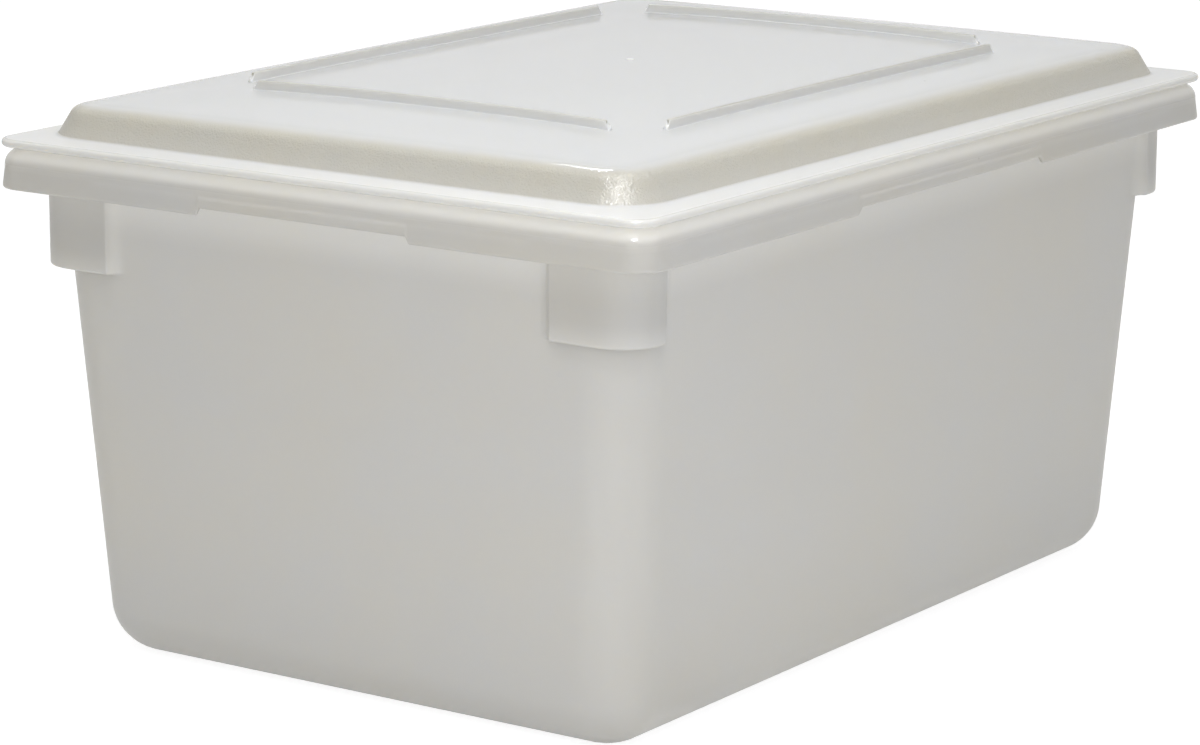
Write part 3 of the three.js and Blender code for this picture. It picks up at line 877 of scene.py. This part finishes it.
    return rings


def lid_levels(tub, lid):
    """Levels and insets of the lid that its shell and its bars share."""
    seat = tub.rim_height + lid.seat_gap
    flange_top = seat + lid.flange_thickness
    foot = flange_top + lid.flange_rise
    panel = foot + lid.dome_rise
    return seat, flange_top, foot, panel, lid.dome_inset + lid.dome_run


def lid_rings(tub, lid):
    """Rings of the lid: middle of the panel, down the sloping wall, round the flange, up the underside."""
    seat, flange_top, foot, panel, panel_inset = lid_levels(tub, lid)
    middle = tub.rim_width / 2
    slope = math.hypot(lid.dome_run, lid.dome_rise)
    edge_start = panel_inset + lid.dome_roll

    def corner(inset):
        return max(lid.dome_corner - (inset - lid.dome_inset), LEAST_CORNER)

    def on_slope(inset, level, away):
        """Inset and level of the point this far up the sloping wall from a place on it."""
        return inset + away * lid.dome_run / slope, level + away * lid.dome_rise / slope

    def fade(share, first, last):
        """0 up to the first share of a stretch, 1 from the last, and eased between them."""
        return ease((share - first) / (last - first))

    rings = []
    # The panel darkens towards its rounded edge as painted shade.
    for share in reversed(PANEL_STEPS):
        inset = mix(edge_start, middle, share)
        shade = mix(PANEL_EDGE_PAINTED_SHADE, 1.0, ease((inset - edge_start) / lid.panel_fade))
        rings.append(Ring(inset, corner(edge_start) * (1 - share), panel, crown=1.0, gloss=1.0, panel=shade))
    edge_stop = on_slope(panel_inset, panel, -lid.dome_edge)
    for share in steps(12)[1:]:
        inset, level = bend((edge_start, panel), (panel_inset, panel), edge_stop, share)
        rings.append(Ring(inset, corner(inset), level, crown=1 - fade(share, 0, .9),
                          stipple=fade(share, .3, .8), gloss=1 - fade(share, .35, .7),
                          panel=PANEL_EDGE_PAINTED_SHADE * (1 - fade(share, 0, .7))))
    foot_start = on_slope(lid.dome_inset, foot, lid.dome_foot)
    for share in SLOPE_STEPS:
        inset = mix(edge_stop[0], foot_start[0], share)
        rings.append(Ring(inset, corner(inset), mix(edge_stop[1], foot_start[1], share), stipple=1.0,
                          solid=SLOPE_FOOT_THICK_AND_LIT * fade(share, .3, 1)))
    flange_lean = lid.flange_rise / (lid.dome_inset - lid.flange_inset)
    foot_stop = (lid.dome_inset - lid.dome_foot, foot - lid.dome_foot * flange_lean)
    # The foot of the sloping wall and the flange go pale for their thickness and as painted light.
    for share in steps(6):
        inset, level = bend(foot_start, (lid.dome_inset, foot), foot_stop, share)
        flat = fade(share, .2, .7)
        rings.append(Ring(inset, corner(inset), level, stipple=1 - fade(share, .1, .7), panel=flat,
                          solid=mix(SLOPE_FOOT_THICK_AND_LIT, FLANGE_THICK_AND_LIT, flat)))
    radius = lid.lip_thickness / 2
    lip_middle = flange_top + lid.lip_crest - radius
    tip_start = lid.flange_inset + radius
    tip_corner = lid.flange_corner - radius
    for share in FLANGE_STEPS:
        rings.append(Ring(mix(foot_stop[0], tip_start, share), mix(corner(foot_stop[0]), tip_corner, share),
                          mix(foot_stop[1], lip_middle + radius, share), stipple=FLANGE_STIPPLE * (1 - share),
                          solid=FLANGE_THICK_AND_LIT, panel=1.0, clear=1.0))
    # The bead's lower half is lighter: painted light in the shaded gap above the rim.
    for turn in half_turns(16):
        inward = radius * (1 - math.sin(turn))
        under = fade(turn / math.pi, .45, .8)
        rings.append(Ring(lid.flange_inset + inward, lid.flange_corner - inward,
                          lip_middle + radius * math.cos(turn), gloss=BEAD_GLOSS, panel=BEAD_PANEL,
                          clear=1.0, solid=mix(BEAD_THICK_AND_LIT, BEAD_UNDER_PAINTED_LIGHT, under)))
    bead_end = tip_start + radius
    bead_low = lip_middle - radius
    for share in steps(4)[1:]:
        rings.append(Ring(mix(tip_start, bead_end, share), tip_corner, mix(bead_low, seat, ease(share))))
    lean = wall_lean(tub)
    low = tub.rim_height - lid.keeper_depth
    tub_inside = tub.wall_inset_base + tub.wall_thickness * math.hypot(1, lean) - lean * low
    keeper = tub_inside + lid.keeper_clearance
    keeper_corner = tub.wall_corner - tub.wall_thickness - lid.keeper_clearance
    for share in SEAT_STEPS:
        inset = mix(bead_end, keeper - KEEPER_FILLET, share)
        rings.append(Ring(inset, mix(tip_corner, keeper_corner + KEEPER_FILLET, share), seat))
    for turn in turns(4):
        outward = KEEPER_FILLET * (1 - math.sin(turn))
        level = seat - KEEPER_FILLET * (1 - math.cos(turn))
        rings.append(Ring(keeper - outward, keeper_corner + outward, level))
    half = lid.keeper_thickness / 2
    for turn in half_turns(8):
        inward = half * (1 - math.cos(turn))
        rings.append(Ring(keeper + inward, keeper_corner - inward, low + half - half * math.sin(turn)))
    inner = keeper + lid.keeper_thickness
    inner_corner = keeper_corner - lid.keeper_thickness
    tilt = lid.dome_run / lid.dome_rise
    shift = lid.lid_thickness * math.hypot(1, tilt)
    meeting = foot + (inner - lid.dome_inset - shift) / tilt
    roof = panel - lid.lid_thickness
    roof_inset = lid.dome_inset + shift + tilt * (roof - foot)
    for share in KEEPER_STEPS:
        rings.append(Ring(inner, inner_corner, mix(low + half, meeting, share)))
    for share in HOLLOW_STEPS:
        rings.append(Ring(mix(inner, roof_inset, share), mix(inner_corner, corner(roof_inset), share),
                          mix(meeting, roof, share)))
    for share in ROOF_STEPS:
        rings.append(Ring(mix(roof_inset, middle, share), corner(roof_inset) * (1 - share), roof, crown=1.0))
    return rings


def bar_guides(lid):
    """Stations along a bar, with its closed ends, and its section: rounded foot, sides and rounded top."""
    half = lid.bar_thickness / 2
    fillet, edge, draft = lid.bar_fillet, lid.bar_edge, lid.bar_draft
    first_end = [(-1, inward, opened) for inward, opened in BAR_END]
    last_end = [(1, inward, opened) for inward, opened in reversed(BAR_END)]
    between = [(share * 2 - 1, BAR_INWARD, 1.0) for share in steps(24)[1:-1]]
    stations = guide("bar stations", first_end + between + last_end)
    left = [(-half - fillet - BAR_ROOT_SPREAD, -BAR_ROOT, 0.0, 0.0, 1.0)]
    for turn in turns(4):
        rise = fillet * (1 - math.cos(turn)) - BAR_SINK
        left.append((-half - fillet * (1 - math.sin(turn)), rise, 0.0, 0.0, 1.0))
    for turn, share in zip(turns(4), steps(4)):
        drop = edge * (1 - math.sin(turn))
        shade = mix(BAR_EDGE_PANEL, BAR_TOP_PANEL, share)
        left.append((-half + draft + edge * (1 - math.cos(turn)), 0.0, drop, 1.0, shade))
    right = [(-side, *others) for side, *others in reversed(left)]
    *places, top_share, panel = zip(*left, *right, left[0])
    return stations, guide("bar section", list(zip(*places)), top_share=top_share, panel=panel)


def crown_values(tub, lid):
    panel, panel_inset = lid_levels(tub, lid)[3:]
    return {
        "Panel level": panel, "Crown rise": lid.crown_rise,
        "Half length": tub.rim_length / 2 - panel_inset, "Half width": tub.rim_width / 2 - panel_inset,
        "Power along X": lid.crown_power_long, "Power along Y": lid.crown_power_short,
    }


def empty_material(name):
    """A new material and the sheet of its empty node tree."""
    material = bpy.data.materials.new(name)
    material.use_nodes = True
    material.node_tree.nodes.clear()
    return material, NodeSheet(material.node_tree)


def opaque(tint):
    return [*tint, 1.0]


def noise(sheet, place, pattern):
    scale, detail, roughness = pattern
    inputs = {"Vector": place, "Scale": scale, "Detail": detail, "Roughness": roughness}
    return sheet.get("ShaderNodeTexNoise", inputs)


def bumped(sheet, pattern, share, bump, below=None):
    """The normal after a bump by a pattern, as strong as its share says, on top of the normal below it."""
    strength, distance = bump
    inputs = {"Height": pattern, "Strength": sheet.sum("MULTIPLY", share, strength), "Distance": distance}
    if below is not None:
        inputs["Normal"] = below
    return sheet.get("ShaderNodeBump", inputs)


def moulded_plastic(name, thin, passed, plastic):
    """Natural polyethylene: cloudy and translucent, whiter where it is thick, with painted light and painted
    shade where the mesh marks them, fine specks, flow waves, and a mould stipple or a polish where the mesh
    marks them."""
    material, sheet = empty_material(name)
    place = sheet.add("ShaderNodeTexCoord").outputs["Object"]
    stipple, gloss, solid, panel, clear, dim = [
        sheet.add("ShaderNodeAttribute", attribute_name=label).outputs["Fac"]
        for label in ("stipple", "gloss", "solid", "panel", "clear", "dim")]
    shade = sheet.ramp(noise(sheet, place, CLOUDS), *CLOUD_RANGE, shape="LINEAR")
    warm, cool = [opaque(part * factor for part, factor in zip(thin, tint)) for tint in (WARM, COOL)]
    body = sheet.blend(shade, warm, cool)
    tints = (plastic.panel_colour, plastic.thick_and_lit_colour, plastic.shaded_colour)
    for share, tint in zip((panel, solid, dim), tints):
        body = sheet.blend(share, body, opaque(tint))
    spots = sheet.add("ShaderNodeTexVoronoi", {"Vector": place, "Scale": SPECK_SCALE, "Randomness": 1.0})
    chosen = sheet.sum("GREATER_THAN", sheet.parts(spots.outputs["Color"])[0], SPECK_FREE)
    near = sheet.ramp(spots.outputs["Distance"], *SPECK_EDGE, 1.0, 0.0)
    speckle = sheet.sum("MULTIPLY", sheet.sum("MULTIPLY", near, chosen), SPECK_DEPTH)
    speckled = sheet.blend(speckle, body, opaque(plastic.speck_colour))
    uneven = sheet.sum("SUBTRACT", 1.0, panel)
    wavy = bumped(sheet, noise(sheet, place, WAVES), uneven, WAVE_BUMP)
    fine = bumped(sheet, noise(sheet, place, GRAINS), uneven, GRAIN_BUMP, wavy)
    grained = bumped(sheet, noise(sheet, place, PITS), stipple, PIT_BUMP, fine)
    satin = sheet.ramp(stipple, 0.0, 1.0, SATIN_ROUGHNESS, STIPPLE_ROUGHNESS)
    polished = sheet.sum("MULTIPLY", satin, sheet.ramp(gloss, 0.0, 1.0, 1.0, POLISH))
    shader = sheet.get("ShaderNodeBsdfPrincipled", {
        "Base Color": speckled, "Roughness": polished, "Normal": grained, "IOR": PLASTIC_IOR,
        "Subsurface Weight": GLOW_SHARE, "Subsurface Radius": GLOW_SPREAD,
        "Subsurface Scale": plastic.glow_depth,
    })
    path = sheet.add("ShaderNodeLightPath").outputs
    lighting = sheet.sum("MAXIMUM", path["Is Shadow Ray"], path["Is Diffuse Ray"])
    open_way = sheet.get("ShaderNodeBsdfTransparent")
    through = sheet.sum("MULTIPLY", lighting, sheet.ramp(clear, 0.0, 1.0, passed, SKIRT_THROUGH))
    sheet.add("ShaderNodeOutputMaterial", [sheet.get("ShaderNodeMixShader", [through, shader, open_way])])
    return material


def studio_floor(name, tint):
    """Pale floor: it gives light back as written, and looks white to the camera apart from a shadow on it."""
    material, sheet = empty_material(name)
    seen = seen_directly(sheet)
    bounce = sheet.get("ShaderNodeBsdfDiffuse", {"Color": opaque(tint)})
    shade = sheet.get("ShaderNodeBsdfDiffuse", {"Color": FLOOR_SHADE})
    white = sheet.get("ShaderNodeEmission", {"Color": WHITE, "Strength": FLOOR_GLOW})
    shown = sheet.get("ShaderNodeAddShader", [shade, white])
    sheet.add("ShaderNodeOutputMaterial", [sheet.get("ShaderNodeMixShader", [seen, bounce, shown])])
    return material


def seen_directly(sheet):
    """1 for what the camera sees directly, in a reflection or through glass."""
    path = sheet.add("ShaderNodeLightPath").outputs
    mirrored = sheet.sum("MAXIMUM", path["Is Glossy Ray"], path["Is Transmission Ray"])
    return sheet.sum("MAXIMUM", path["Is Camera Ray"], mirrored)


def studio_sky(strength):
    """Even light from all round, white where the camera sees it and a little dimmer in a reflection."""
    world = bpy.data.worlds.new("studio sky")
    world.use_nodes = True
    world.node_tree.nodes.clear()
    sheet = NodeSheet(world.node_tree)
    light, white, mirrored = [
        sheet.get("ShaderNodeBackground", {"Color": WHITE, "Strength": share})
        for share in (strength, 1.0, MIRRORED_SKY)]
    path = sheet.add("ShaderNodeLightPath").outputs
    plain = sheet.get("ShaderNodeMixShader", [path["Is Glossy Ray"], light, mirrored])
    shown = sheet.get("ShaderNodeMixShader", [path["Is Camera Ray"], plain, white])
    sheet.add("ShaderNodeOutputWorld", [shown])
    return world


def soft_lamp(name, place, target, size, power, tint=(1.0, 1.0, 1.0)):
    lamp = bpy.data.lights.new(name, "AREA")
    lamp.shape = "DISK"
    lamp.size = size
    lamp.energy = power
    lamp.color = tint
    holder = bpy.data.objects.new(name, lamp)
    holder.location = place
    holder.visible_camera = False
    holder.rotation_euler = (Vector(target) - Vector(place)).to_track_quat("-Z", "Y").to_euler()
    bpy.context.scene.collection.objects.link(holder)
    return holder


def revolved(name, profile, centre, material):
    """A small closed round form about an upright axis, from its foot up."""
    count = 32
    places, faces = [], []
    for radius, level in profile:
        for step in range(count):
            angle = step / count * math.tau
            places.append(centre + Vector((radius * math.cos(angle), radius * math.sin(angle), level)))
    for ring in range(len(profile) - 1):
        for step in range(count):
            beside = (step + 1) % count
            here, above = ring * count, (ring + 1) * count
            faces.append((here + step, here + beside, above + beside, above + step))
    faces.append([(len(profile) - 1) * count + step for step in range(count)])
    faces.append(list(reversed(range(count))))
    mesh = bpy.data.meshes.new(name)
    mesh.from_pydata(places, [], faces)
    mesh.materials.append(material)
    mesh.shade_smooth()
    # The form goes fully pale, a painted highlight, and takes full polish.
    for label in ("solid", "gloss"):
        layer = mesh.attributes.new(label, "FLOAT", "POINT")
        layer.data.foreach_set("value", [1.0] * len(places))
    piece = bpy.data.objects.new(name, mesh)
    bpy.context.scene.collection.objects.link(piece)
    return piece


class STORAGEBOX_OT_tub(bpy.types.Operator):
    """Build the tub"""

    bl_idname = "storagebox.tub"
    bl_label = "Tub"

    def execute(self, context):
        tub, plastic = context.scene.storage_tub, context.scene.storage_plastic
        finish = moulded_plastic("tub plastic", plastic.tub_colour, plastic.tub_through, plastic)
        piece = made_by(tub_tree(), "tub_shell", {
            "Rings": ring_guide(tub_rings(tub)), "Outline": outline_guide(),
            "Length": tub.rim_length, "Width": tub.rim_width,
            "Lug reach along X": tub.lug_reach_long, "Lug reach along Y": tub.lug_reach_short,
            "Lug slope": tub.lug_slope, "Lug steepness": tub.lug_steepness, "Grip rise": tub.grip_rise,
            "Grip flat along X": tub.grip_flat_long, "Grip run along X": tub.grip_run_long,
            "Grip flat along Y": tub.grip_flat_short, "Grip run along Y": tub.grip_run_short,
            "Material": finish,
        })
        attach(piece, "tub")
        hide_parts("tub")
        return {"FINISHED"}


class STORAGEBOX_OT_lid(bpy.types.Operator):
    """Build the lid's shell"""

    bl_idname = "storagebox.lid"
    bl_label = "Lid"

    def execute(self, context):
        tub, lid = context.scene.storage_tub, context.scene.storage_lid
        plastic = context.scene.storage_plastic
        finish = moulded_plastic("lid plastic", plastic.lid_colour, plastic.lid_through, plastic)
        piece = made_by(lid_tree(), "lid_shell", {
            "Rings": ring_guide(lid_rings(tub, lid)), "Outline": outline_guide(),
            "Length": tub.rim_length, "Width": tub.rim_width, **crown_values(tub, lid), "Material": finish,
        })
        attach(piece, "lid")
        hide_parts("lid")
        return {"FINISHED"}


class STORAGEBOX_OT_bars(bpy.types.Operator):
    """Build the raised bars and the moulding mark on the lid's panel"""

    bl_idname = "storagebox.bars"
    bl_label = "Lid bars"

    def execute(self, context):
        tub, lid = context.scene.storage_tub, context.scene.storage_lid
        finish = bpy.data.materials["lid plastic"]
        stations, section = bar_guides(lid)
        bars = made_by(bars_tree(), "lid_bars", {
            "Stations": stations, "Section": section,
            "Long foot": lid.bar_foot_long, "Short foot": lid.bar_foot_short,
            "Away along Y": (lid.bar_frame_width - lid.bar_thickness) / 2,
            "Away along X": (lid.bar_frame_length - lid.bar_thickness) / 2,
            "Height": lid.bar_height, "Slant": lid.bar_slant, **crown_values(tub, lid), "Thick and lit": BAR_THICK_AND_LIT,
            "Material": finish,
        })
        panel = lid_levels(tub, lid)[3] + lid.crown_rise
        profile = [(lid.gate_radius * out, lid.gate_rise * up) for out, up in GATE_PROFILE]
        mark = revolved("lid_gate_mark", profile, Vector((0.0, 0.0, panel)), finish)
        for piece in (bars, mark):
            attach(piece, "lid")
        return {"FINISHED"}


class STORAGEBOX_OT_stage(bpy.types.Operator):
    """Set up the floor, the lamps and the camera"""

    bl_idname = "storagebox.stage"
    bl_label = "Stage"

    def execute(self, context):
        scene, stage = context.scene, context.scene.storage_stage
        mesh = bpy.data.meshes.new("floor")
        corners = [(x * FLOOR_REACH, y * FLOOR_REACH, 0) for x, y in ((-1, -1), (1, -1), (1, 1), (-1, 1))]
        mesh.from_pydata(corners, [], [(0, 1, 2, 3)])
        mesh.materials.append(studio_floor("studio floor", stage.floor_colour))
        floor = bpy.data.objects.new("floor", mesh)
        scene.collection.objects.link(floor)
        scene.world = studio_sky(stage.sky_strength)
        soft_lamp("top lamp", *TOP_LAMP, stage.key_power)
        front = soft_lamp("front lamp", *FRONT_LAMP, stage.fill_power, stage.fill_colour)
        front.visible_glossy = False
        soft_lamp("small lamp", *SMALL_LAMP, stage.spark_power)
        glint = soft_lamp("glint lamp", *GLINT_LAMP, stage.glint_power)
        edge = soft_lamp("edge lamp", *EDGE_LAMP, stage.edge_power)
        glint.visible_diffuse = edge.visible_diffuse = False
        level = Vector((math.cos(stage.azimuth), math.sin(stage.azimuth), 0.0))
        away = Vector((math.sin(stage.azimuth), -math.cos(stage.azimuth), 0.0))
        back = away * math.cos(stage.elevation) + Vector((0.0, 0.0, math.sin(stage.elevation)))
        upright = back.cross(level)
        right = level * math.cos(stage.roll) + upright * math.sin(stage.roll)
        up = upright * math.cos(stage.roll) - level * math.sin(stage.roll)
        camera = bpy.data.cameras.new("camera")
        camera.sensor_width = SENSOR_WIDTH
        camera.lens = FOCAL_PIXELS / IMAGE_WIDTH * SENSOR_WIDTH
        camera.clip_end = VIEW_END
        holder = bpy.data.objects.new("camera", camera)
        turn = Matrix((right, up, back)).transposed().to_4x4()
        holder.matrix_world = Matrix.Translation(stage.camera_place) @ turn
        scene.collection.objects.link(holder)
        scene.camera = holder
        scene.view_settings.view_transform = "Standard"
        return {"FINISHED"}


class STORAGEBOX_PT_panel(bpy.types.Panel):
    """Storage box"""

    bl_idname = "STORAGEBOX_PT_panel"
    bl_label = "Storage box"
    bl_space_type = "VIEW_3D"
    bl_region_type = "UI"
    bl_category = "Storage box"

    def draw(self, context):
        column = self.layout.column()
        for operator in OPERATORS:
            column.operator(operator.bl_idname)
        for name in GROUPS:
            group = getattr(context.scene, name)
            box = self.layout.box()
            for label in group.__annotations__:
                box.prop(group, label)


OPERATORS = (STORAGEBOX_OT_tub, STORAGEBOX_OT_lid, STORAGEBOX_OT_bars, STORAGEBOX_OT_stage)
GROUPS = {
    "storage_tub": StorageTubSizes,
    "storage_lid": StorageLidSizes,
    "storage_plastic": StoragePlastic,
    "storage_stage": StorageStage,
}


def register():
    for kind in (*GROUPS.values(), *OPERATORS, STORAGEBOX_PT_panel):
        bpy.utils.register_class(kind)
    for name, kind in GROUPS.items():
        setattr(bpy.types.Scene, name, PointerProperty(type=kind))


def unregister():
    for name in GROUPS:
        delattr(bpy.types.Scene, name)
    for kind in reversed((*GROUPS.values(), *OPERATORS, STORAGEBOX_PT_panel)):
        bpy.utils.unregister_class(kind)


def main():
    register()
    bpy.ops.storagebox.tub()
    bpy.ops.storagebox.lid()
    bpy.ops.storagebox.bars()
    bpy.ops.storagebox.stage()


if __name__ == "__main__":
    main()
